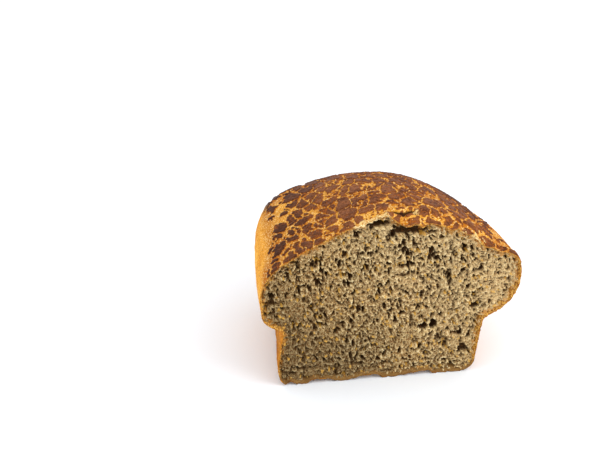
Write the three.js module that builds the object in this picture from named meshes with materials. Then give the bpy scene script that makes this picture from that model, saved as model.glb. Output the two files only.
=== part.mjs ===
// Half of a tin loaf, cut across the middle: one solid with a flat cut face and a closed, rounded end.
// Millimetres. +X is right as the cut face is looked at, +Y runs from the cut to the closed end, +Z is up.
// The dough was baked in a tin: below the tin's rim its walls are plain and nearly straight, and above
// the rim the crown spills over both sides as a rounded brow, then slopes up to a peak.
import * as THREE from "three";

// Driving dimensions.
const HALF_LENGTH = 118; // from the cut face to the furthest point of the closed end
const HALF_WIDTH = 72.6; // from the middle to the brow, which is the widest part
const BROW_HEIGHT = 56; // height at which the brow is widest
const CROWN_HEIGHT = 101.2; // the crown's peak, which lies on the cut
const CROWN_X = 4; // the peak is a little right of the middle
const RIM_HEIGHT = 34; // the tin's rim, above which the crown overhangs
const LEFT_RIM = -59.4; // tin walls at the rim
const RIGHT_RIM = 53.4;
const LEFT_FOOT = -61; // tin walls just above the base
const RIGHT_FOOT = 50;
const FOOT_RADIUS = 8.5; // rounding between the walls and the base
const LEFT_SHOULDER = [-55, 78.6]; // where the brow turns into the slope of the crown
const RIGHT_SHOULDER = [57.3, 80.2];

// How the loaf closes at its far end.
const END_LEAN = 15; // how much further back the end is at the brow than at its foot
const LEAN_POWER = 1.6; // above 1, the end wall is rounder towards the brow
const SIDE_DRAW = 0.11; // share of the width lost towards the end
const DRAW_POWER = 1.5;
const CROWN_POWER = 2.6; // the crown's fall towards the end: a higher power stays level for longer
const RIDGE_DRIFT = -8; // sideways run of the crown's ridge over the length of the half
const TIN_POWER = 5; // squareness of the corners seen from above, in the tin part
const BROW_POWER = 4; // the same, at the brow
const PEAK_POWER = 2.6; // the same, at the peak

// Fineness of the surface.
const FOOT_LEVELS = 5;
const WALL_LEVELS = 5;
const OVERHANG_LEVELS = 11;
const CROWN_LEVELS = 24;
const POINTS_ROUND = 50; // around each level, from the cut's right edge by the closed end to its left edge
const PROFILE_SAMPLES = 400;

// The edge of the cut on each side, from the base up to the peak.
function rightProfile() {
  const path = new THREE.Path();
  path.moveTo(RIGHT_FOOT - FOOT_RADIUS, 0);
  path.bezierCurveTo(RIGHT_FOOT - 3.5, 0, RIGHT_FOOT, 3.5, RIGHT_FOOT, FOOT_RADIUS);
  path.bezierCurveTo(51, 17, 52, 27, RIGHT_RIM, RIM_HEIGHT);
  path.bezierCurveTo(62, 37, HALF_WIDTH, 45, HALF_WIDTH, BROW_HEIGHT);
  path.bezierCurveTo(HALF_WIDTH, 66, 67.5, 73, ...RIGHT_SHOULDER);
  path.bezierCurveTo(46, 89.5, 28.5, CROWN_HEIGHT, CROWN_X, CROWN_HEIGHT);
  return path;
}

function leftProfile() {
  const path = new THREE.Path();
  path.moveTo(LEFT_FOOT + FOOT_RADIUS, 0);
  path.bezierCurveTo(LEFT_FOOT + 3.5, 0, LEFT_FOOT, 3.5, LEFT_FOOT, FOOT_RADIUS);
  path.bezierCurveTo(-60.4, 17, -58.4, 28, LEFT_RIM, RIM_HEIGHT);
  path.bezierCurveTo(-67, 39.5, -HALF_WIDTH, 47, -HALF_WIDTH, BROW_HEIGHT);
  path.bezierCurveTo(-HALF_WIDTH, 65, -66, 72.5, ...LEFT_SHOULDER);
  path.bezierCurveTo(-32, 91, -14, CROWN_HEIGHT, CROWN_X, CROWN_HEIGHT);
  return path;
}

// A function that gives a profile's distance from the middle at a height.
function edgeByHeight(profile) {
  const samples = profile.getSpacedPoints(PROFILE_SAMPLES);
  return (height) => {
    const above = samples.findIndex((sample) => sample.y >= height);
    if (above <= 0) {
      return samples[Math.max(above, 0)].x;
    }
    const low = samples[above - 1];
    const high = samples[above];
    return THREE.MathUtils.mapLinear(height, low.y, high.y, low.x, high.x);
  };
}

// How far back the loaf reaches at a height.
function endByHeight(height) {
  if (height > BROW_HEIGHT) {
    const climb = Math.min(1, (height - BROW_HEIGHT) / (CROWN_HEIGHT - BROW_HEIGHT));
    return HALF_LENGTH * (1 - climb ** 2) ** (1 / CROWN_POWER);
  }
  const lean = END_LEAN * (1 - height / BROW_HEIGHT) ** LEAN_POWER;
  const intoFoot = Math.max(0, 1 - height / FOOT_RADIUS);
  const rounding = FOOT_RADIUS * (1 - Math.sqrt(1 - intoFoot ** 2));
  return HALF_LENGTH - lean - rounding;
}

function powerByHeight(height) {
  const overRim = THREE.MathUtils.smoothstep(height, RIM_HEIGHT - 10, BROW_HEIGHT);
  const towardsPeak = THREE.MathUtils.smoothstep(height, BROW_HEIGHT, CROWN_HEIGHT);
  const lower = THREE.MathUtils.lerp(TIN_POWER, BROW_POWER, overRim);
  return THREE.MathUtils.lerp(lower, PEAK_POWER, towardsPeak);
}

// Heights of the levels, closer together where the surface turns faster.
function levelHeights() {
  const heights = [];
  for (let i = 0; i < FOOT_LEVELS; i += 1) {
    heights.push(FOOT_RADIUS * (1 - Math.cos((Math.PI / 2) * (i / FOOT_LEVELS))));
  }
  for (let i = 0; i < WALL_LEVELS; i += 1) {
    heights.push(THREE.MathUtils.lerp(FOOT_RADIUS, RIM_HEIGHT, i / WALL_LEVELS));
  }
  for (let i = 0; i < OVERHANG_LEVELS; i += 1) {
    heights.push(THREE.MathUtils.lerp(RIM_HEIGHT, BROW_HEIGHT, (i / OVERHANG_LEVELS) ** 1.2));
  }
  for (let i = 0; i < CROWN_LEVELS; i += 1) {
    const rise = Math.sin((Math.PI / 2) * (i / CROWN_LEVELS));
    heights.push(THREE.MathUtils.lerp(BROW_HEIGHT, CROWN_HEIGHT, rise));
  }
  return heights;
}

// One level: the right edge of the cut, round the closed end, and the left edge of the cut.
function levelPoints(height, rightEdge, leftEdge) {
  const right = rightEdge(height);
  const left = leftEdge(height);
  const middle = THREE.MathUtils.mapLinear(height, 0, CROWN_HEIGHT, (right + left) / 2, CROWN_X);
  const power = powerByHeight(height);
  const end = endByHeight(height);
  const climb = Math.max(0, (height - BROW_HEIGHT) / (CROWN_HEIGHT - BROW_HEIGHT));
  const points = [];
  for (let i = 0; i < POINTS_ROUND; i += 1) {
    const angle = Math.PI * (i / (POINTS_ROUND - 1));
    const cosine = Math.abs(Math.cos(angle));
    const sine = Math.sin(angle);
    const reach = (cosine ** power + sine ** power) ** (-1 / power);
    const side = angle < Math.PI / 2 ? right : left;
    const back = end * reach * sine;
    const progress = back / HALF_LENGTH;
    const drawn = 1 - SIDE_DRAW * progress ** DRAW_POWER;
    const drift = RIDGE_DRIFT * progress * climb;
    const across = THREE.MathUtils.lerp(middle, side, reach * cosine) * drawn + drift;
    points.push(new THREE.Vector3(across, back, height));
  }
  return points;
}

// The levels stacked from the base to the peak. Each joins the next round the crust and straight
// across the cut, so the cut face is flat.
function loafGeometry() {
  const rightEdge = edgeByHeight(rightProfile());
  const leftEdge = edgeByHeight(leftProfile());
  const heights = levelHeights();
  const positions = [];
  for (const height of heights) {
    for (const point of levelPoints(height, rightEdge, leftEdge)) {
      positions.push(...point.toArray());
    }
  }
  const baseMiddle = positions.length / 3;
  positions.push(0, HALF_LENGTH / 2, 0);
  const peak = baseMiddle + 1;
  positions.push(CROWN_X, 0, CROWN_HEIGHT);

  const triangles = [];
  const topLevel = (heights.length - 1) * POINTS_ROUND;
  for (let i = 0; i < POINTS_ROUND; i += 1) {
    const next = (i + 1) % POINTS_ROUND;
    for (let level = 0; level < topLevel; level += POINTS_ROUND) {
      triangles.push(level + i, level + next, level + POINTS_ROUND + i);
      triangles.push(level + next, level + POINTS_ROUND + next, level + POINTS_ROUND + i);
    }
    triangles.push(baseMiddle, next, i);
    triangles.push(peak, topLevel + i, topLevel + next);
  }

  const geometry = new THREE.BufferGeometry();
  geometry.setAttribute("position", new THREE.Float32BufferAttribute(positions, 3));
  geometry.setIndex(triangles);
  return geometry;
}

// Puts the origin under the middle of the loaf's box, on the surface that it rests on.
function standOnOrigin(geometry) {
  geometry.computeBoundingBox();
  const middle = geometry.boundingBox.getCenter(new THREE.Vector3());
  geometry.translate(-middle.x, -middle.y, -geometry.boundingBox.min.z);
  geometry.computeVertexNormals();
  return geometry;
}

const bakedBread = new THREE.MeshStandardMaterial({ color: 0xa8713a, roughness: 0.85, metalness: 0 });
const tinLoafHalf = new THREE.Mesh(standOnOrigin(loafGeometry()), bakedBread);
tinLoafHalf.name = "tin_loaf_half";

const loaf = new THREE.Group();
loaf.add(tinLoafHalf);

export default loaf;
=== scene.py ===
import math

import bpy
import numpy as np
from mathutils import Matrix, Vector
from mathutils.bvhtree import BVHTree
from mathutils.geometry import delaunay_2d_cdt


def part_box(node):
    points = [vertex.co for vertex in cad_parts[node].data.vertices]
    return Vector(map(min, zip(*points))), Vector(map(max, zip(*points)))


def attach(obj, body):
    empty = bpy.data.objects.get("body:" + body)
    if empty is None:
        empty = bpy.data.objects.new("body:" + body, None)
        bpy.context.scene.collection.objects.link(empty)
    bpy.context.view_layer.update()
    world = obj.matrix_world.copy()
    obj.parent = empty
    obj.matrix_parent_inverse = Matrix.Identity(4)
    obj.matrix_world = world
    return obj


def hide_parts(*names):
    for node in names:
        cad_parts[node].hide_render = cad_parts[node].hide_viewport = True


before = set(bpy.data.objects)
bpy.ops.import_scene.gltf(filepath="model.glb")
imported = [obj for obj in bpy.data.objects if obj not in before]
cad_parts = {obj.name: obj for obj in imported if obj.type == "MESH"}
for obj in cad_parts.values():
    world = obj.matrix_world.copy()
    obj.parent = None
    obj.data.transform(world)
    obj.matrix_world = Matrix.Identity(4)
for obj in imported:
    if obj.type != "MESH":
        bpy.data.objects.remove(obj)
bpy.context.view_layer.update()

# Half of a tin loaf, cut across the middle. Its crown was brushed with rice paste before baking, so
# it crackled into dark plates with golden dough between them. Two pieces stand for the one baked
# solid: the crust, a closed body with a shallow pocket at the cut, and the crumb, which fills it.
# Everything is in metres: +X right as the cut is looked at, +Y towards the closed end, +Z up.

MM = 0.001
NODE = "tin_loaf_half"
LOW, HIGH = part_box(NODE)
CUT = LOW.y
RIM = 34 * MM  # height of the tin's rim, where the crown starts to overhang

# The spine is the line that the crust is measured from. It ends in a point inside the closed end.
SPINE = Vector(((LOW.x + HIGH.x) / 2, 0, 50 * MM))
SPINE_END = HIGH.y - 55 * MM


# ------------------------------------ small helpers

def linear(code):
    """An sRGB hex colour as linear red, green, blue and alpha."""
    parts = [int(code[i:i + 2], 16) / 255 for i in (0, 2, 4)]
    return [p / 12.92 if p <= 0.04045 else ((p + 0.055) / 1.055) ** 2.4 for p in parts] + [1]


def add(tree, kind, inputs=None, **settings):
    """Adds a node. Each input is a value, a socket, or a node, which gives its first output."""
    node = tree.nodes.new(kind)
    for name, value in settings.items():
        setattr(node, name, value)
    for name, value in (inputs or {}).items():
        if isinstance(value, bpy.types.Node):
            value = value.outputs[0]
        if isinstance(value, bpy.types.NodeSocket):
            tree.links.new(value, node.inputs[name])
        else:
            node.inputs[name].default_value = value
    return node


def smooth_step(value, low, high):
    """0 below low and 1 above high, with a smooth rise between."""
    share = np.clip((value - low) / (high - low), 0, 1)
    return share * share * (3 - 2 * share)


def mound(value, middle, spread):
    """A smooth mound: 1 at its middle, and falling off over its spread. Both are in millimetres."""
    return np.exp(-((value - middle * MM) / (spread * MM)) ** 2)


def lattice_noise(first, second, grain, seed):
    """Smooth noise from -1 to 1 at points of a plane, with bumps about one grain across."""
    size = 64  # grains before the noise repeats
    values = np.random.default_rng(seed).uniform(-1, 1, (size, size))
    a, b = first / grain, second / grain
    i, j = np.floor(a).astype(int), np.floor(b).astype(int)
    s, t = smooth_step(a - i, 0, 1), smooth_step(b - j, 0, 1)
    i, next_i, j, next_j = i % size, (i + 1) % size, j % size, (j + 1) % size
    near = values[i, j] * (1 - s) + values[next_i, j] * s
    far = values[i, next_j] * (1 - s) + values[next_i, next_j] * s
    return near * (1 - t) + far * t


def blur(grid, spread, axis, wrap=False):
    """Gaussian blur along one axis. The spread is in samples."""
    reach = int(3 * spread) + 1
    weights = np.exp(-0.5 * (np.arange(-reach, reach + 1) / spread) ** 2)
    weights /= weights.sum()
    padded = np.pad(
        grid,
        [(reach, reach) if a == axis else (0, 0) for a in range(grid.ndim)],
        mode="wrap" if wrap else "edge",
    )
    count = grid.shape[axis]
    return sum(
        w * np.take(padded, np.arange(k, k + count), axis=axis) for k, w in enumerate(weights)
    )


def mesh_piece(name, points, faces, floats, vectors, corner_uvs):
    """A mesh object with point attributes and its own UV map."""
    mesh = bpy.data.meshes.new(name)
    mesh.from_pydata(points.tolist(), [], faces)
    for label, values in floats.items():
        mesh.attributes.new(label, "FLOAT", "POINT").data.foreach_set("value", values.ravel())
    for label, values in vectors.items():
        attribute = mesh.attributes.new(label, "FLOAT_VECTOR", "POINT")
        attribute.data.foreach_set("vector", values.ravel())
    mesh.uv_layers.new(name="OFBake").data.foreach_set("uv", corner_uvs.ravel())
    mesh.polygons.foreach_set("use_smooth", [True] * len(mesh.polygons))
    piece = bpy.data.objects.new(name, mesh)
    bpy.context.scene.collection.objects.link(piece)
    return piece


# ------------------------------------ the crust's smooth shape

RAYS = 1440  # directions tried round the spine
TUBE_RINGS = 84  # rings from the cut to the spine's end
END_RINGS = 92  # rings from there to the middle of the closed end
COLUMNS = 480  # points round each ring
RAY_BLUR, RING_BLUR = 5, 1.5  # evens out the solid's facets, in rays and in rings
WALL_POINTS = 0.55  # points on the plain walls, as a share of those on as much of the crown


def sample_rings():
    """Rings of points on the CAD solid, evened out along each ring and finer over the crown."""
    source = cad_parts[NODE].data
    tree = BVHTree.FromPolygons(
        [v.co for v in source.vertices], [tuple(p.vertices) for p in source.polygons]
    )
    turns = np.linspace(0, 2 * math.pi, RAYS, endpoint=False) - math.pi / 2
    around = np.stack([np.cos(turns), np.zeros(RAYS), np.sin(turns)], 1)
    starts, directions = [], []
    # the first ring lies just behind the cut, so that no ray runs along the cut's face
    for y in np.linspace(CUT + 0.02 * MM, SPINE_END, TUBE_RINGS, endpoint=False):
        starts.append((SPINE.x, y, SPINE.z))
        directions.append(around)
    for tilt in np.linspace(0, math.pi / 2, END_RINGS, endpoint=False):
        starts.append((SPINE.x, SPINE_END, SPINE.z))
        directions.append(around * math.cos(tilt) + np.array([0, math.sin(tilt), 0]))
    starts, directions = np.array(starts), np.array(directions)

    reach = np.empty(directions.shape[:2])
    for ring, start in enumerate(starts):
        origin = Vector(start)
        for k, direction in enumerate(directions[ring]):
            reach[ring, k] = tree.ray_cast(origin, Vector(direction))[3]
    reach = blur(blur(reach, RAY_BLUR, 1, wrap=True), RING_BLUR, 0)
    dense = starts[:, None, :] + directions * reach[:, :, None]
    dense[:, :, 2] = np.maximum(dense[:, :, 2], 0)

    rings = np.empty((len(dense), COLUMNS, 3))
    for ring, points in enumerate(dense):
        closed = np.vstack([points, points[:1]])
        steps = np.linalg.norm(np.diff(closed, axis=0), axis=1)
        middles = (closed[1:, 2] + closed[:-1, 2]) / 2
        steps *= WALL_POINTS + (1 - WALL_POINTS) * smooth_step(middles, 40 * MM, 62 * MM)
        walked = np.concatenate([[0], np.cumsum(steps)])
        targets = np.linspace(0, walked[-1], COLUMNS, endpoint=False)
        for axis in range(3):
            rings[ring, :, axis] = np.interp(targets, walked, closed[:, axis])
    rings[0, :, 1] = CUT
    return rings


def ring_normals(rings):
    """Outward directions of the smooth crust."""
    along = np.gradient(rings, axis=0)
    wrapped = np.concatenate([rings[:, -1:], rings, rings[:, :1]], axis=1)
    across = (wrapped[:, 2:] - wrapped[:, :-2]) / 2
    normals = np.cross(across, along)
    normals /= np.linalg.norm(normals, axis=2, keepdims=True) + 1e-12
    outward = rings - np.array([SPINE.x, 0, SPINE.z])
    outward[:, :, 1] = 0
    flip = np.sign((normals[0] * outward[0]).sum())
    return normals * flip


def fill_shoulders(rings):
    """Swells the dough a little past the plain shape in four places, each a few millimetres."""
    x, y, z = np.moveaxis(rings, 2, 0)
    front = 1 - smooth_step(y, CUT + 30 * MM, CUT + 90 * MM)
    at_cut = 1 - smooth_step(y, CUT + 2 * MM, CUT + 40 * MM)
    wall = 1 - smooth_step(z, 24 * MM, 36 * MM)
    right_shoulder = 2.6 * MM * mound(x, 67, 10) * mound(z, 68, 9) * front
    far_left_shoulder = 3.4 * MM * mound(x, -58, 20) * mound(z, 76, 15) * mound(y, 25, 32)
    under_left_brow = 3.0 * MM * mound(x, -68, 8) * mound(z, 42, 7) * front
    left_foot = 2.2 * MM * mound(x, -60, 6) * wall * at_cut
    swelling = right_shoulder + far_left_shoulder + under_left_brow + left_foot
    filled = rings + ring_normals(rings) * swelling[:, :, None]
    filled[:, :, 2] = np.maximum(filled[:, :, 2], 0)
    filled[0, :, 1] = CUT
    return filled


# ------------------------------------ the torn top of the cut

# The knife dragged the crust down over the cut from the middle to the right tip. Left of that it
# tore free and stands up as a pale lip.
FLAP_LEFT, FLAP_RIGHT = -7 * MM, 74 * MM
FLAP_DEEPEST = 9 * MM  # across, like the places above
FLAP_DROP = 7 * MM
FLAP_REACH = 6.5 * MM  # how far back from the cut the crust starts to bend
LIP_LEFT, LIP_RIGHT = -26 * MM, -1 * MM
LIP_REACH = 6 * MM  # how far back the lip starts to rise
SPLIT_BACK = 4.6 * MM  # from the cut to the split, where the crust broke as it bent
SPLIT_WIDTH = 0.85  # millimetres
SPLIT_DEPTH = 2.8 * MM
CROWN_FROM, CROWN_TO = 84 * MM, 90 * MM  # heights between which the lip and the split come in
BASE_LIFT = 2.2 * MM  # the most that the knife lifted the base's edge
BASE_REACH = 4 * MM  # how far back the base is lifted


def flap_share(x):
    """How far the crust is dragged down at the cut, from 0 to 1."""
    rise = smooth_step(x, FLAP_LEFT, FLAP_DEEPEST)
    ease = 1 - 0.3 * smooth_step(x, FLAP_DEEPEST, 28 * MM)
    fall = 1 - smooth_step(x, FLAP_RIGHT - 20 * MM, FLAP_RIGHT)
    return rise * ease * fall


def lip_share(x, z):
    """How far the torn lip stands up, from 0 to 1."""
    rise = smooth_step(x, LIP_LEFT, LIP_LEFT + 8 * MM)
    fall = 1 - smooth_step(x, LIP_RIGHT - 3 * MM, LIP_RIGHT)
    return rise * fall * smooth_step(z, CROWN_FROM, CROWN_TO)


def tear_top(rings):
    """Bends the crust down at the flap, splits the fold, and lifts the lip and the base's edge."""
    torn = rings.copy()
    x, y, z = np.moveaxis(rings, 2, 0)
    back = y - CUT

    near = np.clip(1 - back / FLAP_REACH, 0, 1)
    wobble = 1 + 0.25 * lattice_noise(x, y, 4 * MM, 11)
    drop = FLAP_DROP * flap_share(x) * smooth_step(z, 56 * MM, 66 * MM) * near ** 1.8 * wobble
    torn[:, :, 2] -= drop

    lip_height = 0.6 * MM + 1.4 * MM * smooth_step(x, -14 * MM, -3 * MM)
    torn[:, :, 2] += lip_height * lip_share(x, z) * np.clip(1 - back / LIP_REACH, 0, 1) ** 2

    lifted = smooth_step(lattice_noise(x, x * 0, 7 * MM, 12), 0.05, 0.6)
    lifted *= 1 - smooth_step(z, 2 * MM, 9 * MM)
    torn[:, :, 2] += BASE_LIFT * lifted * np.clip(1 - back / BASE_REACH, 0, 1)

    behind = SPLIT_BACK + 0.9 * MM * lattice_noise(x, y * 0, 5 * MM, 5)
    split = mound(back - behind, 0, SPLIT_WIDTH) * smooth_step(z, CROWN_FROM, CROWN_TO)
    split *= smooth_step(x, -4 * MM, 0) * (1 - smooth_step(x, 11 * MM, 15 * MM))
    torn[:, :, 2] -= SPLIT_DEPTH * split
    return torn, split, drop


# ------------------------------------ the crumb's relief

CELL = 0.15 * MM  # sampling of the relief
CRUMB_STEP = 0.385 * MM  # distance between the crumb's points
CRUMB_ROW = 0.866  # and between their rows, which makes even triangles, as a share of the step
CRUMB_JITTER = 0.22  # how far a point is moved at most, as a share of the step
POCKET = 12 * MM  # depth of the pocket that the crumb fills
POCKET_DRAW = 3.5 * MM  # how much the pocket narrows on each side towards its back
CRUMB_GAP = 0.3 * MM  # between the crumb's back and the pocket's floor
DEEPEST = 9.5 * MM

# The gas cells come in three sizes. Each row gives the size and the greatest depth in millimetres,
# the width of the strands as a share of the cell, how rare the deep cells are, and a seed.
GAS_CELLS = [
    (3.1, 4.6, 0.34, 2.3, 61),
    (1.6, 3.1, 0.38, 1.4, 62),
    (0.85, 1.5, 0.46, 0.8, 63),
]
CELL_LENGTH, CELL_WIDTH = 1.35, 0.80  # as shares of the size

# Larger holes, listed one by one: across, up, half width, half height and depth, in millimetres.
HOLES = [
    (19, 30, 3.3, 2.4, 9.0),  # the double hole right of the middle
    (25, 31, 2.6, 3.2, 9.0),
    (29, 37, 1.5, 1.8, 6.0),
    (28, 26, 1.4, 1.2, 4.0),
    (48, 41, 3.0, 2.0, 7.0),  # under the right shoulder
    (43, 14, 3.0, 3.2, 6.0),  # by the right foot
    (-44, 47, 1.8, 1.8, 6.0),
    (3, 56, 2.2, 1.6, 4.5),
    (6, 63, 2.6, 2.2, 4.5),
    (34, 57, 1.4, 1.4, 4.5),
    (-9, 95, 8.6, 2.3, 8.0),  # the hollow under the lip
    (10, 90, 11.5, 2.6, 8.0),  # the crevice under the flap
    (21, 88, 5.5, 1.5, 5.0),
]
DOUBLE_HOLE = 22, 30  # its middle, across and up
FLAKES = 420  # of bran
LEANS = 4  # directions in which the cells may be drawn out


def cell_field(first, second, seed):
    """Jittered cells one unit across: distance from the nearest edge, and each cell's own level."""
    size = 128  # cells before the field repeats
    rng = np.random.default_rng(seed)
    jitter = rng.uniform(0.02, 0.98, (size, size, 2))
    levels = rng.uniform(0, 1, (size, size))
    i, j = np.floor(first).astype(int), np.floor(second).astype(int)
    nearest = np.full(first.shape, np.inf)
    second_nearest = nearest.copy()
    level = np.zeros(first.shape)
    for di in (-1, 0, 1):
        for dj in (-1, 0, 1):
            a, b = (i + di) % size, (j + dj) % size
            away = np.hypot(i + di + jitter[a, b, 0] - first, j + dj + jitter[a, b, 1] - second)
            closer = away < nearest
            second_nearest = np.where(closer, nearest, np.minimum(second_nearest, away))
            level = np.where(closer, levels[a, b], level)
            nearest = np.where(closer, away, nearest)
    return second_nearest - nearest, level


def grid_points(low, high):
    """Positions of the relief's samples, across and up."""
    across = (np.arange(int((high[0] - low[0]) / CELL)) + 0.5) * CELL
    up = (np.arange(int((high[1] - low[1]) / CELL)) + 0.5) * CELL
    return np.meshgrid(across + low[0], up + low[1], indexing="ij")


def gas_cells(gx, gz, direction):
    """Depth of the gas cells, in millimetres. They are drawn out along the given direction."""
    bent_x, bent_z = (
        along + MM * (
            0.7 * lattice_noise(gx, gz, 3.1 * MM, seed)
            + 0.25 * lattice_noise(gx, gz, 1.2 * MM, seed + 1)
        )
        for along, seed in ((gx, 51), (gz, 53))
    )
    depth = np.zeros(gx.shape)
    for size, deepest, strand_width, rarity, seed in GAS_CELLS:
        strength, total = 0, 0
        # the lean is constant within each of a few bands of direction, and the bands are blended
        for lean in np.arange(LEANS) * math.pi / LEANS:
            share = np.maximum(np.cos(direction - lean) ** 2 * 2 - 1, 0) ** 1.2 + 1e-6
            cosine, sine = math.cos(lean), math.sin(lean)
            along = (bent_x * cosine + bent_z * sine) / (size * CELL_LENGTH * MM)
            aside = (bent_z * cosine - bent_x * sine) / (size * CELL_WIDTH * MM)
            gap, level = cell_field(along, aside, seed + int(lean * 10))
            cup = smooth_step(gap, 0.02, strand_width) * (0.12 + 0.88 * level ** rarity)
            strength += share * cup
            total += share
        depth += deepest * strength / total
    return depth


def bran_flakes(gx, gz, low):
    """Flakes of bran, one to three millimetres long, on the cut face: 1 on a flake, 0 off it."""
    bran = np.zeros(gx.shape)
    rng = np.random.default_rng(81)
    reach = 10  # samples on each side of a flake's middle
    for x, z in rng.uniform((-70, 2), (70, 98), (FLAKES, 2)):
        length, width = rng.uniform(0.5, 1.3), rng.uniform(0.35, 0.7)
        lean = rng.uniform(0, math.pi)
        i = max(int((x * MM - low[0]) / CELL) - reach, 0)
        j = max(int((z * MM - low[1]) / CELL) - reach, 0)
        window = np.s_[i:i + 2 * reach, j:j + 2 * reach]
        a, b = gx[window] / MM - x, gz[window] / MM - z
        u = (a * math.cos(lean) + b * math.sin(lean)) / length
        v = (b * math.cos(lean) - a * math.sin(lean)) / width
        bran[window] = np.maximum(bran[window], smooth_step(1.3 - u * u - v * v, 0, 0.6))
    return bran


def crumb_relief(low, high, from_edge, direction):
    """Depth of the crumb behind the cut on a grid, and where the flakes of bran lie.

    The walls between gas cells are the strands. Each cell is as deep as its own level says, and a
    strand stands lower where the knife tore it, so that neighbouring cells run together.
    """
    gx, gz = grid_points(low, high)
    depth = gas_cells(gx, gz, direction)  # in millimetres, like all that is added to it here

    def noise(grain, seed):
        return lattice_noise(gx, gz, grain * MM, seed)

    # strands torn lower in places, and a slow rise and fall of the whole face
    depth += 0.55 * np.abs(noise(2.1, 71)) + 0.35 * noise(11, 72)
    # where the knife tore several walls the cells run together into darker hollows
    depth += 1.9 * smooth_step(noise(3, 78), 0.28, 0.78)
    depth += 0.30 * noise(0.55, 74) + 0.25 * noise(1.3, 75)
    # the crumb is closer next to the crust, and looser in some parts than in others
    depth *= 0.85 + 0.15 * smooth_step(from_edge, 0, 4 * MM)
    depth *= 1 + 0.22 * noise(14, 73)
    # and it is closer round the double hole, which stands alone
    depth *= 1 - 0.5 * mound(gx, DOUBLE_HOLE[0], 9) * mound(gz, DOUBLE_HOLE[1], 6)
    ragged = 0.2 * noise(1.3, 23) + 0.12 * noise(0.6, 22)
    for x, z, half_width, half_height, deepest in HOLES:
        away = np.hypot((gx / MM - x) / half_width, (gz / MM - z) / half_height) + ragged
        hole = deepest * np.sqrt(np.clip(1 - away ** 2, 0, 1)) * smooth_step(1 - away, 0, 0.12)
        depth = np.maximum(depth, hole)
    bran = bran_flakes(gx, gz, low)
    depth = np.where(depth < 3, depth - bran * 0.5 * depth, depth)
    return np.clip(depth * MM, -0.3 * MM, DEEPEST), bran


def edge_grids(low, high, outline):
    """On the relief's grid: distance from the crust's inner edge, and the cells' direction."""
    coarse = 1 * MM
    gx = np.arange(low[0], high[0] + coarse, coarse)
    gz = np.arange(low[1], high[1] + coarse, coarse)
    px, pz = np.meshgrid(gx, gz, indexing="ij")
    nearest = np.full(px.shape, np.inf)
    heading = np.zeros(px.shape)
    ahead = np.roll(outline, -1, axis=0)
    for (ax, az), (bx, bz) in zip(outline[::3], ahead[::3]):
        away = np.hypot(px - ax, pz - az)
        nearer = away < nearest
        nearest = np.where(nearer, away, nearest)
        heading = np.where(nearer, math.atan2(bz - az, bx - ax), heading)
    # cells lie along the crust near it, and lean with the rise of the dough further in
    beside = np.exp(-nearest / (14 * MM))
    free = 1.9 - 0.9 * smooth_step(px, -40 * MM, 40 * MM)
    direction = 0.5 * np.angle(beside * np.exp(2j * heading) + (1 - beside) * np.exp(2j * free))
    fine_x, fine_z = grid_points(low, high)
    i = np.clip(np.round((fine_x[:, 0] - low[0]) / coarse).astype(int), 0, len(gx) - 1)
    j = np.clip(np.round((fine_z[0] - low[1]) / coarse).astype(int), 0, len(gz) - 1)
    return nearest[np.ix_(i, j)], direction[np.ix_(i, j)]


def grid_sample(grid, low, points):
    """Reading of a relief grid at points, by the four samples round each."""
    a = np.clip((points[:, 0] - low[0]) / CELL - 0.5, 0, grid.shape[0] - 1.001)
    b = np.clip((points[:, 1] - low[1]) / CELL - 0.5, 0, grid.shape[1] - 1.001)
    i, j = a.astype(int), b.astype(int)
    s, t = a - i, b - j
    near = grid[i, j] * (1 - s) + grid[i + 1, j] * s
    far = grid[i, j + 1] * (1 - s) + grid[i + 1, j + 1] * s
    return near * (1 - t) + far * t


def inside_outline(points, outline):
    """Which points lie inside the outline, by counting crossings."""
    hit = np.zeros(len(points), bool)
    for (ax, az), (bx, bz) in zip(outline, np.roll(outline, -1, axis=0)):
        if az == bz:
            continue
        spans = (az > points[:, 1]) != (bz > points[:, 1])
        crossing = ax + (points[:, 1] - az) * (bx - ax) / (bz - az)
        hit ^= spans & (points[:, 0] < crossing)
    return hit


def scattered_face(outline, low, high, from_edge):
    """A flat, even but irregular mesh inside the outline, which comes first in its points."""
    rng = np.random.default_rng(5)
    columns = np.arange(low[0], high[0], CRUMB_STEP)
    rows = np.arange(low[1], high[1], CRUMB_STEP * CRUMB_ROW)
    px, pz = np.meshgrid(columns, rows, indexing="ij")
    px = px + (np.arange(len(rows)) % 2)[None, :] * CRUMB_STEP / 2
    px = px + rng.uniform(-CRUMB_JITTER, CRUMB_JITTER, px.shape) * CRUMB_STEP
    pz = pz + rng.uniform(-CRUMB_JITTER, CRUMB_JITTER, pz.shape) * CRUMB_STEP
    seeds = np.stack([px.ravel(), pz.ravel()], 1)
    seeds = seeds[grid_sample(from_edge, low, seeds) > 0.6 * CRUMB_STEP]
    seeds = seeds[inside_outline(seeds, outline)]
    points = [Vector(p) for p in np.vstack([outline, seeds])]
    flat = delaunay_2d_cdt(points, [], [list(range(len(outline)))], 1, 1e-7)
    face = np.array([tuple(v) for v in flat[0]])
    triangles = np.array([list(f) for f in flat[2]])
    a, b, c = (face[triangles[:, k]] for k in range(3))
    (ux, uz), (vx, vz) = (b - a).T, (c - a).T
    turn = ux * vz - uz * vx
    triangles[turn < 0] = triangles[turn < 0][:, ::-1]
    return face, triangles


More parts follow.
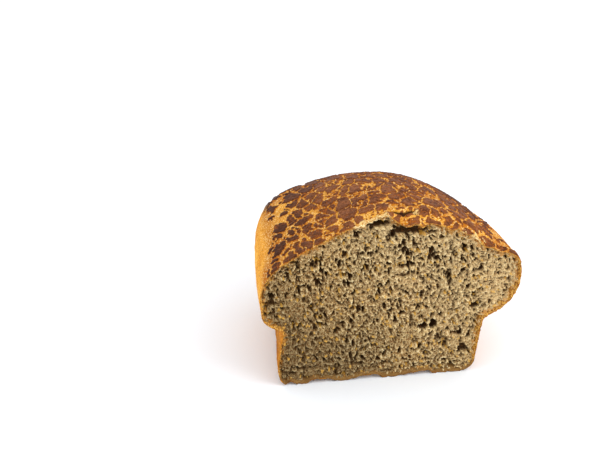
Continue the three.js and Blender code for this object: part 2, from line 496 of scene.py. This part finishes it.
def crumb_piece(outline, back_outline):
    """The crumb: an open, porous face on the cut, closed behind by the pocket's shape."""
    low, high = outline.min(axis=0) - MM, outline.max(axis=0) + MM
    from_edge, direction = edge_grids(low, high, outline)
    depth, bran = crumb_relief(low, high, from_edge, direction)
    soft, depth = (blur(blur(depth, spread, 0), spread, 1) for spread in (7, 0.8))
    face, triangles = scattered_face(outline, low, high, from_edge)

    count = len(outline)
    edge = grid_sample(from_edge, low, face)
    rim = smooth_step(edge, 0, 0.7 * MM)
    into = grid_sample(depth, low, face) * rim + 0.25 * MM * (1 - rim)
    back_y = CUT + POCKET - CRUMB_GAP
    front = np.stack([face[:, 0], CUT + into, face[:, 1]], 1)
    back = np.stack([back_outline[:, 0], np.full(count, back_y), back_outline[:, 1]], 1)
    hub = np.array([[outline[:, 0].mean(), back_y, outline[:, 1].mean()]])
    points = np.vstack([front, back, hub])
    first_back, hub_index = len(front), len(front) + count

    # on the map the face fills the width, above narrow strips for the wall and the back
    wall_low, wall_high, back_low, back_high = 0.02, 0.10, 0.14, 0.18
    faces = triangles.tolist()
    flat_uv = np.array([0.005, 0.22]) + (face - low) * 0.99 / (high[0] - low[0])
    uvs = [flat_uv[triangles].reshape(-1, 2)]
    shifted = np.roll(outline, -1, axis=0)
    anticlockwise = (outline[:, 0] * shifted[:, 1] - shifted[:, 0] * outline[:, 1]).sum() > 0
    for k in range(count):
        n = (k + 1) % count
        wall = (k, first_back + k, first_back + n, n)
        end = (first_back + k, hub_index, first_back + n)
        s, e = k / count, (k + 1) / count
        wall_uv = [(s, wall_high), (s, wall_low), (e, wall_low), (e, wall_high)]
        end_uv = [(s, back_low), (s, back_high), (e, back_low)]
        if not anticlockwise:
            wall, end, wall_uv, end_uv = wall[::-1], end[::-1], wall_uv[::-1], end_uv[::-1]
        faces += [wall, end]
        uvs += [np.array(wall_uv), np.array(end_uv)]
    # each attribute's label, its values on the face, and its value behind the face
    floats = {
        label: np.append(values, np.full(count + 1, behind))
        for label, values, behind in (
            # depth behind the cut, for painted shade in the holes
            ("pit_depth_for_painted_shade", np.maximum(into, 0), 3 * MM),
            # the face's height over its surroundings, for painted highlight on crests and shade in
            # hollows
            ("crest_for_painted_light", grid_sample(soft, low, face) - into, 0.0),
            ("bran", grid_sample(bran, low, face), 0.0),
            ("edge", edge, 0.0),
        )
    }
    return mesh_piece("loaf_crumb", points, faces, floats, {}, np.vstack(uvs))


# ------------------------------------ the crust as a closed body

RIM_STEPS = 4  # rings across the crust's thickness at the cut
INSIDE = 6 * MM  # skin depth given to the pocket, which is never seen
BORDER = 66.5 * MM  # height of the plates' lower border at the cut
BORDER_CLIMB = 9 * MM  # how much higher it runs further back
BORDER_RUN = 32 * MM  # how far behind the cut it has climbed


def round_walk(ring):
    """Distance walked round a ring, for noise that follows an edge."""
    x, z = ring[:, 0], ring[:, 2]
    return np.cumsum(np.hypot(np.diff(x, prepend=x[0]), np.diff(z, prepend=z[0])))


def edge_noise(walk, grain, seed):
    """Noise from -1 to 1 along an edge."""
    return lattice_noise(walk, walk * 0, grain, seed)


def crust_thickness(outer):
    """Thickness of the crust round the cut: thin on the base, thicker where it tore."""
    x, z = outer[:, 0], outer[:, 2]
    walk = round_walk(outer)
    thick = 0.8 * MM + 0.2 * MM * smooth_step(z, 20 * MM, 60 * MM) + 1.3 * MM * lip_share(x, z)
    return thick * (1 + 0.45 * edge_noise(walk, 2.6 * MM, 31) + 0.25 * edge_noise(walk, 1 * MM, 32))


def inset(ring, sideways, amount):
    """Moves a ring inwards, away from the crust's outside."""
    moved = ring.copy()
    moved[:, 0] -= sideways[:, 0] * amount
    moved[:, 2] -= sideways[:, 1] * amount
    return moved


def rim_rings(outer, sideways, thick, lip):
    """The torn rim of the cut, from the crumb's edge out to just inside the crust's edge."""
    walk = round_walk(outer)
    rings = []
    for step in range(RIM_STEPS, 0, -1):
        share = step / RIM_STEPS
        ring = inset(outer, sideways, thick * share)
        rough = 0.55 * MM * edge_noise(walk, 1.4 * MM, 40 + step)
        hollow = 0.35 * MM * share ** 2 - 0.3 * MM * math.sin(math.pi * share)
        ring[:, 1] = CUT + hollow + rough - 0.7 * MM * lip
        rings.append(ring)
    return np.array(rings)


def torn_edge(outer, sideways, lip):
    """The outer edge of the cut, nibbled and uneven."""
    walk = round_walk(outer)
    nibble = (0.45 * edge_noise(walk, 1.6 * MM, 45) + 0.3 * edge_noise(walk, 4 * MM, 46)) * MM
    edge = inset(outer, sideways, 0.15 * MM - nibble)
    edge[:, 2] = np.maximum(edge[:, 2], 0)
    edge[:, 1] = CUT + (0.4 * edge_noise(walk, 1.8 * MM, 41) + 0.2) * MM - 0.5 * MM * lip
    return edge


def torn_dough(rings):
    """Where pale dough shows outside: along the lip, behind the flap and in shreds to its right."""
    x, y, z = np.moveaxis(rings, 2, 0)
    back = y - CUT
    cracked = mound(x, 12, 3.5) * mound(back, 4.5, 2.2) * smooth_step(z, 80 * MM, 90 * MM)
    along_lip = lip_share(x, z) * (1 - smooth_step(back, 0.2 * MM, 2.2 * MM))
    shreds = smooth_step(x, 34 * MM, 42 * MM) * (1 - smooth_step(x, 56 * MM, 63 * MM))
    shreds *= (1 - smooth_step(back, 0.6 * MM, 3.4 * MM)) * (z > 60 * MM)
    shreds *= smooth_step(lattice_noise(x, y, 2.4 * MM, 14), -0.1, 0.4)
    return np.maximum(np.maximum(cracked, along_lip), shreds)


def ring_uvs(total):
    """Map places of a ring body's corners, in the order of its faces.

    The crown's half of each ring and the base's half lie one above the other on the map.
    """
    left, crown_low, base_low = 0.006, 0.510, 0.008  # where the halves lie on the map
    wide, high = 0.988, 0.482  # the size of each
    half = COLUMNS // 2
    shifted = (np.arange(COLUMNS) + half // 2) % COLUMNS
    u = left + wide * (shifted % half) / half
    base = np.where(shifted // half == 1, crown_low, base_low)
    du, dv = wide / half, high / (total + 1)
    u, v = np.broadcast_arrays(u[None, :], base[None, :] + dv * np.arange(1, total)[:, None])
    quads = np.stack([
        np.stack([u, v], 2), np.stack([u, v + dv], 2),
        np.stack([u + du, v + dv], 2), np.stack([u + du, v], 2),
    ], 2)
    u, top = u[0], base + dv * total
    first_cap = np.stack([
        np.stack([u, base + dv], 1), np.stack([u + du, base + dv], 1),
        np.stack([u + du / 2, base], 1),
    ], 1)
    last_cap = np.stack([
        np.stack([u + du, top], 1), np.stack([u, top], 1), np.stack([u + du / 2, top + dv], 1),
    ], 1)
    return np.vstack([part.reshape(-1, 2) for part in (quads, first_cap, last_cap)])


def ring_faces(total):
    """Faces between stacked rings, and the fans that close both ends."""
    k = np.arange(COLUMNS)
    n = (k + 1) % COLUMNS
    near = np.arange(total - 1)[:, None] * COLUMNS
    far = near + COLUMNS
    quads = np.stack([near + k, far + k, far + n, near + n], 2).reshape(-1, 4)
    first_hub, last_hub = total * COLUMNS, total * COLUMNS + 1
    last = (total - 1) * COLUMNS
    first_cap = np.stack([k, n, k * 0 + first_hub], 1)
    last_cap = np.stack([last + n, last + k, k * 0 + last_hub], 1)
    return quads.tolist() + first_cap.tolist() + last_cap.tolist()


def crust_piece():
    """The crust as rings: pocket floor, pocket wall, torn rim, outer surface, closed end."""
    smooth = fill_shoulders(sample_rings())
    rings, split, drop = tear_top(smooth)
    normals = ring_normals(smooth)
    outer = rings[0].copy()
    sideways = normals[0][:, [0, 2]]
    sideways /= np.linalg.norm(sideways, axis=1, keepdims=True)
    thick = crust_thickness(outer)
    lip = lip_share(outer[:, 0], outer[:, 2])
    inner_edge = inset(outer, sideways, thick)

    wall = []
    for back in (POCKET, POCKET / 2):
        ring = inset(inner_edge, sideways, POCKET_DRAW * back / POCKET)
        ring[:, 1] = CUT + back
        wall.append(ring)
    front = rim_rings(outer, sideways, thick, lip)
    rings[0] = torn_edge(outer, sideways, lip)
    everything = np.concatenate([np.array(wall), front, rings])
    total, hidden = len(everything), len(wall) + len(front)
    pocket_hub = [outer[:, 0].mean(), CUT + POCKET, outer[:, 2].mean()]
    hubs = np.array([pocket_hub, rings[-1].mean(axis=0)])
    points = np.vstack([everything.reshape(-1, 3), hubs])

    # where the crust is bent down its pattern goes on at its own length, so it isn't drawn out
    place = np.concatenate([np.array(wall), front, smooth])
    place[hidden:, :, 1] -= drop
    place = np.vstack([place.reshape(-1, 3), hubs])

    outward = np.zeros((total, COLUMNS, 3))
    outward[hidden:] = normals
    outward[hidden] = np.stack([sideways[:, 0], sideways[:, 0] * 0, sideways[:, 1]], 1)
    outward = np.vstack([outward.reshape(-1, 3), [[0, 0, 0]], [[0, 1, 0]]])

    skin = np.zeros((total, COLUMNS))
    skin[:len(wall)] = INSIDE
    for k in range(RIM_STEPS):
        skin[len(wall) + k] = thick * (RIM_STEPS - k) / RIM_STEPS
    fold = np.zeros((total, COLUMNS))
    fold[hidden:] = split
    torn = np.zeros((total, COLUMNS))
    torn[hidden:] = torn_dough(rings)
    torn[len(wall):hidden] = np.maximum(lip, torn[hidden])
    border = BORDER + BORDER_CLIMB * smooth_step(place[:, 1], CUT, CUT + BORDER_RUN)
    floats = {
        "skin": np.append(skin.ravel(), [INSIDE, 0]),
        "split": np.append(fold.ravel(), [0, 0]),
        "torn": np.append(torn.ravel(), [0, 0]),
        "above_border": place[:, 2] - border,
    }
    vectors = {"place": place, "outward": outward}
    piece = mesh_piece("loaf_crust", points, ring_faces(total), floats, vectors, ring_uvs(total))
    inner_back = inset(inner_edge, sideways, POCKET_DRAW)
    return piece, inner_edge[:, [0, 2]], inner_back[:, [0, 2]]


# ------------------------------------ crackle, shared by shape and colour

PLATE = 8 * MM  # usual width of a plate, which is drawn out along the loaf as the crown spread
HAIR = 4.6 * MM  # distance between the hair cracks inside the plates
CRACK_DEPTH = 0.45 * MM  # below the plain crust
RELIEF = 0.9 * MM  # height of the plates over the cracks, and of the blisters
STRETCH = (1.0, 0.72, 1.1)  # the plates' own shape: longer along the loaf, shorter up its sides


def crackle(tree, place, above):
    """How open the cracks are, 1 being the middle of one, the crown's share, and a fine noise."""
    wander, broad, ragged = (
        add(tree, "ShaderNodeTexNoise", {
            "Vector": place, "Scale": 1 / size, "Detail": 2.0, "Roughness": roughness,
        })
        for size, roughness in ((6.7 * MM, 0.6), (24 * MM, 0.55), (1.4 * MM, 0.6))
    )
    centred = add(tree, "ShaderNodeVectorMath", {
        0: wander.outputs["Color"], 1: (0.5, 0.5, 0.5),
    }, operation="SUBTRACT")
    shift = add(tree, "ShaderNodeVectorMath", {0: centred, "Scale": 7 * MM}, operation="SCALE")
    bent = add(tree, "ShaderNodeVectorMath", {0: place, 1: shift}, operation="ADD")
    drawn = add(tree, "ShaderNodeVectorMath", {0: bent, 1: STRETCH}, operation="MULTIPLY")
    plates, hairs, owner = (
        add(tree, "ShaderNodeTexVoronoi", {"Vector": vector, "Scale": 1 / size}, feature=feature)
        for vector, size, feature in (
            (drawn, PLATE, "DISTANCE_TO_EDGE"), (bent, HAIR, "DISTANCE_TO_EDGE"),
            (drawn, PLATE, "F1"),
        )
    )

    across = add(tree, "ShaderNodeSeparateXYZ", {0: place})
    chance = add(tree, "ShaderNodeSeparateXYZ", {0: owner.outputs["Color"]})
    patch, low, pulled, rag, hair_share, early, waver = (
        add(tree, "ShaderNodeMapRange", {
            "Value": value, "From Min": start, "From Max": stop, "To Min": first, "To Max": last,
        })
        for value, start, stop, first, last in (
            # a crack's width is a share of the plate's: it varies from patch to patch, and it is
            # wider at the plates' lower border and towards the right, where the dough rose most
            (broad, 0.38, 0.68, 0.052, 0.09),
            (above, 0, 12 * MM, 0.012, 0),
            (across.outputs["X"], 12 * MM, 48 * MM, 0, 0.035),
            (ragged, 0.3, 0.7, -0.024, 0.024),
            (broad, 0.44, 0.56, 0.15, 1),
            # how much lower than the border a plate may lie, and how the crown's own edge wavers
            (chance.outputs["X"], 0, 1, -5 * MM, 5 * MM),
            (broad, 0.3, 0.7, -5 * MM, 5 * MM),
        )
    )
    opened = add(tree, "ShaderNodeMath", {0: patch, 1: pulled}, operation="ADD")
    width = add(tree, "ShaderNodeMath", {0: opened, 1: low}, operation="ADD")
    torn = add(tree, "ShaderNodeMath", {0: plates, 1: rag}, operation="ADD")
    away = add(tree, "ShaderNodeMath", {0: torn, 1: width}, operation="DIVIDE")
    main_crack, hair_crack = (
        add(tree, "ShaderNodeMapRange", {
            "Value": value, "From Min": start, "From Max": stop, "To Min": first, "To Max": 0.0,
        }, interpolation_type="SMOOTHSTEP")
        for value, start, stop, first in ((away, 0.55, 1.5, 1.0), (hairs, 0.0, 0.07, 0.5))
    )
    hair = add(tree, "ShaderNodeMath", {0: hair_crack, 1: hair_share}, operation="MULTIPLY")
    open_crack = add(tree, "ShaderNodeMath", {0: main_crack, 1: hair}, operation="MAXIMUM")

    # at the lower border whole plates are there or missing, by where each plate's own middle lies
    undrawn = add(tree, "ShaderNodeVectorMath", {
        0: owner.outputs["Position"], 1: STRETCH,
    }, operation="DIVIDE")
    middle = add(tree, "ShaderNodeSeparateXYZ", {0: undrawn})
    border = add(tree, "ShaderNodeMapRange", {
        "Value": middle.outputs["Y"], "From Min": CUT, "From Max": CUT + BORDER_RUN,
        "To Min": BORDER, "To Max": BORDER + BORDER_CLIMB,
    }, interpolation_type="SMOOTHSTEP")
    limit = add(tree, "ShaderNodeMath", {0: border, 1: early}, operation="SUBTRACT")
    bare = add(tree, "ShaderNodeMath", {0: middle.outputs["Z"], 1: limit}, operation="LESS_THAN")
    crack = add(tree, "ShaderNodeMath", {0: open_crack, 1: bare}, operation="MAXIMUM")

    over = add(tree, "ShaderNodeMath", {0: above, 1: waver}, operation="ADD")
    crown = add(tree, "ShaderNodeMapRange", {
        "Value": over, "From Min": -12 * MM, "From Max": -4 * MM,
    }, interpolation_type="SMOOTHSTEP")
    return crack, crown, ragged


def grow_plates(piece, material):
    """Geometry Nodes: the paste's plates stand up from the crust, and the cracks sink between."""
    tree = bpy.data.node_groups.new("Crackled crust", "GeometryNodeTree")
    face = tree.interface
    face.new_socket("Geometry", in_out="INPUT", socket_type="NodeSocketGeometry")
    heights = [
        face.new_socket(label, in_out="INPUT", socket_type="NodeSocketFloat")
        for label in ("Plate height", "Blister height")
    ]
    face.new_socket("Geometry", in_out="OUTPUT", socket_type="NodeSocketGeometry")
    enter = add(tree, "NodeGroupInput")
    stored = {
        label: add(tree, "GeometryNodeInputNamedAttribute", {"Name": label}, data_type=kind)
        for label, kind in (
            ("place", "FLOAT_VECTOR"), ("outward", "FLOAT_VECTOR"),
            ("above_border", "FLOAT"), ("skin", "FLOAT"),
        )
    }
    crack, crown, ragged = crackle(tree, stored["place"], stored["above_border"])
    plate = add(tree, "ShaderNodeMath", {0: 1.0, 1: crack}, operation="SUBTRACT")
    raised = add(tree, "ShaderNodeMath", {0: plate, 1: crown}, operation="MULTIPLY")
    curl = add(tree, "ShaderNodeMapRange", {
        "Value": ragged, "From Min": 0.3, "From Max": 0.7, "To Min": 0.75, "To Max": 1.2,
    })
    curled = add(tree, "ShaderNodeMath", {0: raised, 1: curl}, operation="MULTIPLY")
    plates = add(tree, "ShaderNodeMath", {
        0: curled, 1: enter.outputs["Plate height"],
    }, operation="MULTIPLY")
    blisters = add(tree, "ShaderNodeTexNoise", {
        "Vector": stored["place"], "Scale": 1 / (3.8 * MM), "Detail": 3.0, "Roughness": 0.65,
    })
    level = add(tree, "ShaderNodeMath", {0: blisters, 1: 0.5}, operation="SUBTRACT")
    bumped = add(tree, "ShaderNodeMath", {
        0: level, 1: enter.outputs["Blister height"],
    }, operation="MULTIPLY")
    height = add(tree, "ShaderNodeMath", {0: plates, 1: bumped}, operation="ADD")
    sunk = add(tree, "ShaderNodeMath", {0: height, 1: CRACK_DEPTH}, operation="SUBTRACT")
    # the relief fades out inside the rim of the cut
    outside = add(tree, "ShaderNodeMapRange", {
        "Value": stored["skin"], "From Max": 0.3 * MM, "To Min": 1.0, "To Max": 0.0,
    })
    shown = add(tree, "ShaderNodeMath", {0: sunk, 1: outside}, operation="MULTIPLY")
    offset = add(tree, "ShaderNodeVectorMath", {
        0: stored["outward"], "Scale": shown,
    }, operation="SCALE")
    moved = add(tree, "GeometryNodeSetPosition", {
        "Geometry": enter.outputs["Geometry"], "Offset": offset,
    })
    real = add(tree, "GeometryNodeRealizeInstances", {"Geometry": moved})
    coated = add(tree, "GeometryNodeSetMaterial", {"Geometry": real, "Material": material})
    add(tree, "NodeGroupOutput", {"Geometry": coated})
    modifier = piece.modifiers.new("Crackle", "NODES")
    modifier.node_group = tree
    for socket in heights:
        modifier[socket.identifier] = RELIEF

    graph = bpy.context.evaluated_depsgraph_get()
    plain = bpy.data.meshes.new_from_object(
        piece.evaluated_get(graph), preserve_all_data_layers=True, depsgraph=graph
    )
    piece.modifiers.clear()
    piece.data = plain
    plain.name = piece.name
    plain.materials.clear()
    plain.materials.append(material)


# ------------------------------------ materials

def start_material(name):
    """An empty material with a shader that reaches its output."""
    material = bpy.data.materials.new(name)
    material.use_nodes = True
    tree = material.node_tree
    tree.nodes.clear()
    shader = add(tree, "ShaderNodeBsdfPrincipled")
    add(tree, "ShaderNodeOutputMaterial", {"Surface": shader.outputs[0]})
    return material, tree, shader


def paint(tree, colour, coats):
    """Lays coats over a colour one after another, and gives the last one's socket.

    Each coat says its colour, the value that places it, the readings of that at which it starts and
    is full, and how strong it is at most. A colour is a hex code or a socket.
    """
    def as_input(shade):
        return linear(shade) if isinstance(shade, str) else shade

    for over, where, start, full, most in coats:
        share = add(tree, "ShaderNodeMapRange", {
            "Value": where, "From Min": start, "From Max": full, "To Max": most,
        }, interpolation_type="SMOOTHSTEP")
        colour = add(tree, "ShaderNodeMix", {
            0: share, 6: as_input(colour), 7: as_input(over),
        }, data_type="RGBA").outputs[2]
    return colour


def crust_material():
    """Baked tiger crust: rice paste brushed on, dried and cracked by the rising dough.

    The eye gets matt reddish-brown plates edged with painted shade, golden dough in the cracks,
    a smooth golden band where the dough rose over the tin, and a pitted orange-brown side off it.
    """
    material, tree, shader = start_material("Baked crust, rice paste over wholemeal dough")
    stored = {
        label: add(tree, "ShaderNodeAttribute", attribute_name=label)
        for label in ("place", "above_border", "skin", "torn", "split")
    }
    place = stored["place"].outputs["Vector"]
    above, skin, torn, split = (
        stored[label].outputs["Fac"] for label in ("above_border", "skin", "torn", "split")
    )
    crack, crown, ragged = crackle(tree, place, above)
    # grain of the paste, of the dough and of the flour, and broad drifts of browning
    grain, drift, flour, pores = (
        add(tree, "ShaderNodeTexNoise", {
            "Vector": place, "Scale": 1 / size, "Detail": detail, "Roughness": roughness,
        })
        for size, detail, roughness in (
            (1.3 * MM, 4.0, 0.75), (10.5 * MM, 3.0, 0.6), (0.9 * MM, 2.0, 0.6), (1.1 * MM, 3.0, 0.7)
        )
    )
    where = add(tree, "ShaderNodeSeparateXYZ", {0: place})
    across, height = where.outputs["X"], where.outputs["Z"]

    # plates, darker lower down and to the left
    plate = paint(tree, "5e341d", [
        ("844f2d", drift, 0.35, 0.65, 1),
        ("b0714a", grain, 0.52, 0.66, 0.6),
        ("34170a", grain, 0.47, 0.36, 0.75),
        ("371c11", above, 16 * MM, 2 * MM, 0.6),
        ("371c11", across, -20 * MM, -62 * MM, 0.5),
    ])
    # golden dough in the cracks, dusted with flour, and amber at the plates' edges
    gold = paint(tree, "b8701a", [
        ("dc9c38", drift, 0.4, 0.62, 1),
        ("a65c18", above, 6 * MM, 0.0, 0.45),
        ("e9a234", above, -1 * MM, -7 * MM, 1),
        ("f3d592", flour, 0.52, 0.66, 0.8),
        ("a45c14", flour, 0.45, 0.34, 0.7),
    ])
    # painted shade: a dark ring where the plates' edges meet the cracks, then amber, then gold
    cracked = paint(tree, "3e1a0c", [("9a541e", crack, 0.18, 0.45, 1), (gold, crack, 0.58, 1.0, 1)])
    dusted = add(tree, "ShaderNodeMath", {0: torn, 1: flour}, operation="MULTIPLY")
    tiger = paint(tree, plate, [
        (cracked, crack, 0.12, 0.4, 1),
        # painted shade: near black down in the split
        ("2a1208", split, 0.15, 0.5, 0.95),
        ("eec983", dusted, 0.30, 0.46, 0.85),
    ])

    # the smooth band below the plates, then the pitted side off the tin, browner next to the base,
    # with that band over it
    band = paint(tree, "e0911c", [
        ("fbbb4a", drift, 0.35, 0.68, 1),
        ("ffd27c", flour, 0.52, 0.66, 0.55),
        ("96520f", pores, 0.50, 0.38, 0.7),
        ("c47820", above, -12 * MM, -5 * MM, 0.25),
    ])
    plain = paint(tree, "a9640f", [
        ("da8f26", drift, 0.35, 0.65, 1),
        ("63300f", pores, 0.55, 0.36, 0.7),
        ("755432", height, 2.4 * MM, 0.6 * MM, 0.8),
        (band, height, RIM - 2 * MM, RIM + 5 * MM, 1),
    ])
    outside = add(tree, "ShaderNodeMix", {0: crown, 6: plain, 7: tiger}, data_type="RGBA")

    # the rim of the cut: golden next to the skin, browner on the base, pale where the lip tore
    shred = add(tree, "ShaderNodeMapRange", {
        "Value": ragged, "From Min": 0.35, "From Max": 0.65,
        "To Min": -0.5 * MM, "To Max": 0.5 * MM,
    })
    torn_in = add(tree, "ShaderNodeMath", {0: skin, 1: shred}, operation="ADD")
    baked = paint(tree, "8a5520", [("dcaa54", flour, 0.42, 0.6, 1)])
    dough = paint(tree, "c08c48", [("f4dda4", flour, 0.40, 0.6, 1)])
    rim = paint(tree, "b46c20", [
        (baked, torn_in, 0.0, 0.6 * MM, 1),
        ("7a5c36", height, 9 * MM, 3 * MM, 0.85),
        (dough, torn, 0.2, 0.8, 1),
    ])
    colour = paint(tree, outside.outputs[2], [(rim, skin, 0.0, 0.5 * MM, 1)])
    tree.links.new(colour, shader.inputs["Base Color"])

    # the dough in the cracks is drier and duller than the paste
    dull = add(tree, "ShaderNodeMapRange", {
        "Value": crack, "From Min": 0.2, "From Max": 0.7, "To Min": 0.52, "To Max": 0.72,
    }, interpolation_type="SMOOTHSTEP")
    tree.links.new(dull.outputs[0], shader.inputs["Roughness"])
    shader.inputs["Specular IOR Level"].default_value = 0.05
    # pores and flour dust under a third of a millimetre, drawn a millimetre apart so that they show
    bump = add(tree, "ShaderNodeBump", {"Strength": 0.55, "Distance": 0.35 * MM, "Height": pores})
    tree.links.new(bump.outputs[0], shader.inputs["Normal"])
    return material


def crumb_material():
    """Wholemeal crumb, cut with a bread knife.

    The eye gets strands and films of dough standing over brown cells, with flakes of bran. Painted
    highlight lightens the strands' crests, and painted shade darkens hollows, pinholes and holes.
    """
    material, tree, shader = start_material("Wholemeal crumb, knife cut")
    coordinates = add(tree, "ShaderNodeTexCoord").outputs["Object"]
    pit_depth_for_painted_shade, crest_for_painted_light, husk, edge = (
        add(tree, "ShaderNodeAttribute", attribute_name=label).outputs["Fac"]
        for label in ("pit_depth_for_painted_shade", "crest_for_painted_light", "bran", "edge")
    )
    drift, speck, shred = (
        add(tree, "ShaderNodeTexNoise", {
            "Vector": coordinates, "Scale": 1 / size, "Detail": detail, "Roughness": roughness,
        })
        for size, detail, roughness in (
            (33 * MM, 2.0, 0.5), (1.25 * MM, 3.0, 0.7), (2.4 * MM, 2.0, 0.6)
        )
    )
    # films between the finest cells are thinner than they are drawn, so that they show
    film, pinhole_painted_shade, germ = (
        add(tree, "ShaderNodeTexVoronoi", {
            "Vector": coordinates, "Scale": 1 / size,
        }, feature=feature)
        for size, feature in ((1.5 * MM, "DISTANCE_TO_EDGE"), (1.9 * MM, "F1"), (3 * MM, "F1"))
    )
    where = add(tree, "ShaderNodeSeparateXYZ", {0: coordinates})
    # x plus z, rising towards the upper right, for painted light and shade across the face
    painted_light_slope = add(tree, "ShaderNodeMath", {
        0: where.outputs["X"], 1: where.outputs["Z"],
    }, operation="ADD")

    # next to the crust it is baked golden in shreds, but hardly at the base
    ragged = add(tree, "ShaderNodeMapRange", {
        "Value": shred, "From Min": 0.35, "From Max": 0.65,
        "To Min": -1.4 * MM, "To Max": 1.4 * MM,
    })
    reach = add(tree, "ShaderNodeMath", {0: edge, 1: ragged}, operation="ADD")
    at_base = add(tree, "ShaderNodeMapRange", {
        "Value": where.outputs["Z"],
        "From Min": 3 * MM, "From Max": 14 * MM, "To Min": 1.5 * MM, "To Max": 0.0,
    })
    within = add(tree, "ShaderNodeMath", {0: reach, 1: at_base}, operation="ADD")

    # painted light: paler towards the upper right, and painted shade: darker towards the lower left
    painted_crest_highlight = paint(tree, "cfab6a", [("f8e6b8", speck, 0.40, 0.62, 1)])
    base = paint(tree, "795a32", [
        ("957040", drift, 0.35, 0.65, 1),
        ("e2c491", painted_light_slope, 10 * MM, 115 * MM, 0.55),
        ("4c3419", painted_light_slope, 30 * MM, -40 * MM, 0.45),
        # painted highlight: pale where the face stands over its surroundings, on the strands'
        # crests
        (painted_crest_highlight, crest_for_painted_light, 0.1 * MM, 1.5 * MM, 0.75),
        ("f4dca4", film, 0.13, 0.02, 0.5),
        # painted shade: dark dots for pinholes that the mesh doesn't have
        ("3c2813", pinhole_painted_shade, 0.33, 0.14, 0.8),
        # painted shade: darker where the face lies below its surroundings
        ("4a3018", crest_for_painted_light, 0.0, -1.45 * MM, 0.8),
        # painted shade: darkest deep inside the holes
        ("351f0c", pit_depth_for_painted_shade, 2.5 * MM, 5.0 * MM, 0.95),
        ("644320", speck, 0.46, 0.34, 0.5),
        # painted shade: darker again towards the lower left
        ("5a4122", painted_light_slope, 30 * MM, -30 * MM, 0.5),
        ("734520", germ, 0.26, 0.14, 0.6),
        ("c08436", within, 2.6 * MM, 0.6 * MM, 0.7),
        ("c9993f", husk, 0.25, 0.75, 0.75),
    ])
    tree.links.new(base, shader.inputs["Base Color"])
    shader.inputs["Roughness"].default_value = 0.8
    shader.inputs["Specular IOR Level"].default_value = 0.08
    bump = add(tree, "ShaderNodeBump", {"Strength": 0.5, "Distance": 0.3 * MM, "Height": speck})
    tree.links.new(bump.outputs[0], shader.inputs["Normal"])
    return material


def floor_material():
    """Pale matt studio board, painted: the eye gets an even white with soft shadows."""
    material, _, shader = start_material("Painted board, matt white")
    shader.inputs["Base Color"].default_value = linear("f3f8fe")
    shader.inputs["Roughness"].default_value = 0.9
    shader.inputs["Specular IOR Level"].default_value = 0.1
    return material


# ------------------------------------ assembly

crust, inner_outline, back_outline = crust_piece()
grow_plates(crust, crust_material())
crumb = crumb_piece(inner_outline, back_outline)
crumb.data.materials.append(crumb_material())

for piece in (crust, crumb):
    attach(piece, "root")
    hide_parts(NODE)


# ------------------------------------ floor, light and camera

scene = bpy.context.scene
scene.view_settings.view_transform = "Standard"

FLOOR = 6.0  # half its width
corners = [(-FLOOR, -FLOOR), (FLOOR, -FLOOR), (FLOOR, FLOOR), (-FLOOR, FLOOR)]
floor_mesh = bpy.data.meshes.new("floor")
floor_mesh.from_pydata([(x, y, 0) for x, y in corners], [], [(0, 1, 2, 3)])
floor_mesh.materials.append(floor_material())
floor = bpy.data.objects.new("floor", floor_mesh)
scene.collection.objects.link(floor)

world = bpy.data.worlds.new("Studio")
scene.world = world
world.use_nodes = True
background = world.node_tree.nodes["Background"]
background.inputs["Color"].default_value = (1, 1, 1, 1)
background.inputs["Strength"].default_value = 1.18


def soft_light(name, position, size, power):
    """A square soft box that faces the loaf."""
    light = bpy.data.lights.new(name, "AREA")
    light.shape = "SQUARE"
    light.size = size
    light.energy = power
    lamp = bpy.data.objects.new(name, light)
    lamp.location = position
    towards = Vector((0, 0, (LOW.z + HIGH.z) / 2)) - Vector(position)
    lamp.rotation_euler = towards.to_track_quat("-Z", "Y").to_euler()
    scene.collection.objects.link(lamp)


soft_light("Key", (0.75, -0.55, 0.85), 0.8, 5)
soft_light("Front fill", (-0.3, -1.2, 0.6), 0.9, 1)

# The camera looks down on the cut from a little to its left. It aims above the left shoulder, so
# the loaf stands right of the middle and a little low.
AZIMUTH, ELEVATION = math.radians(-8.5), math.radians(25)
DISTANCE = 574 * MM
aim = Vector((LOW.x + 22 * MM, CUT, HIGH.z - 3 * MM))
forward = Vector((
    -math.sin(AZIMUTH) * math.cos(ELEVATION),
    math.cos(AZIMUTH) * math.cos(ELEVATION),
    -math.sin(ELEVATION),
))
camera_data = bpy.data.cameras.new("Camera")
camera_data.lens = 66
camera_data.sensor_width = 36
camera = bpy.data.objects.new("Camera", camera_data)
camera.location = aim - forward * DISTANCE
camera.rotation_euler = forward.to_track_quat("-Z", "Y").to_euler()
scene.collection.objects.link(camera)
scene.camera = camera
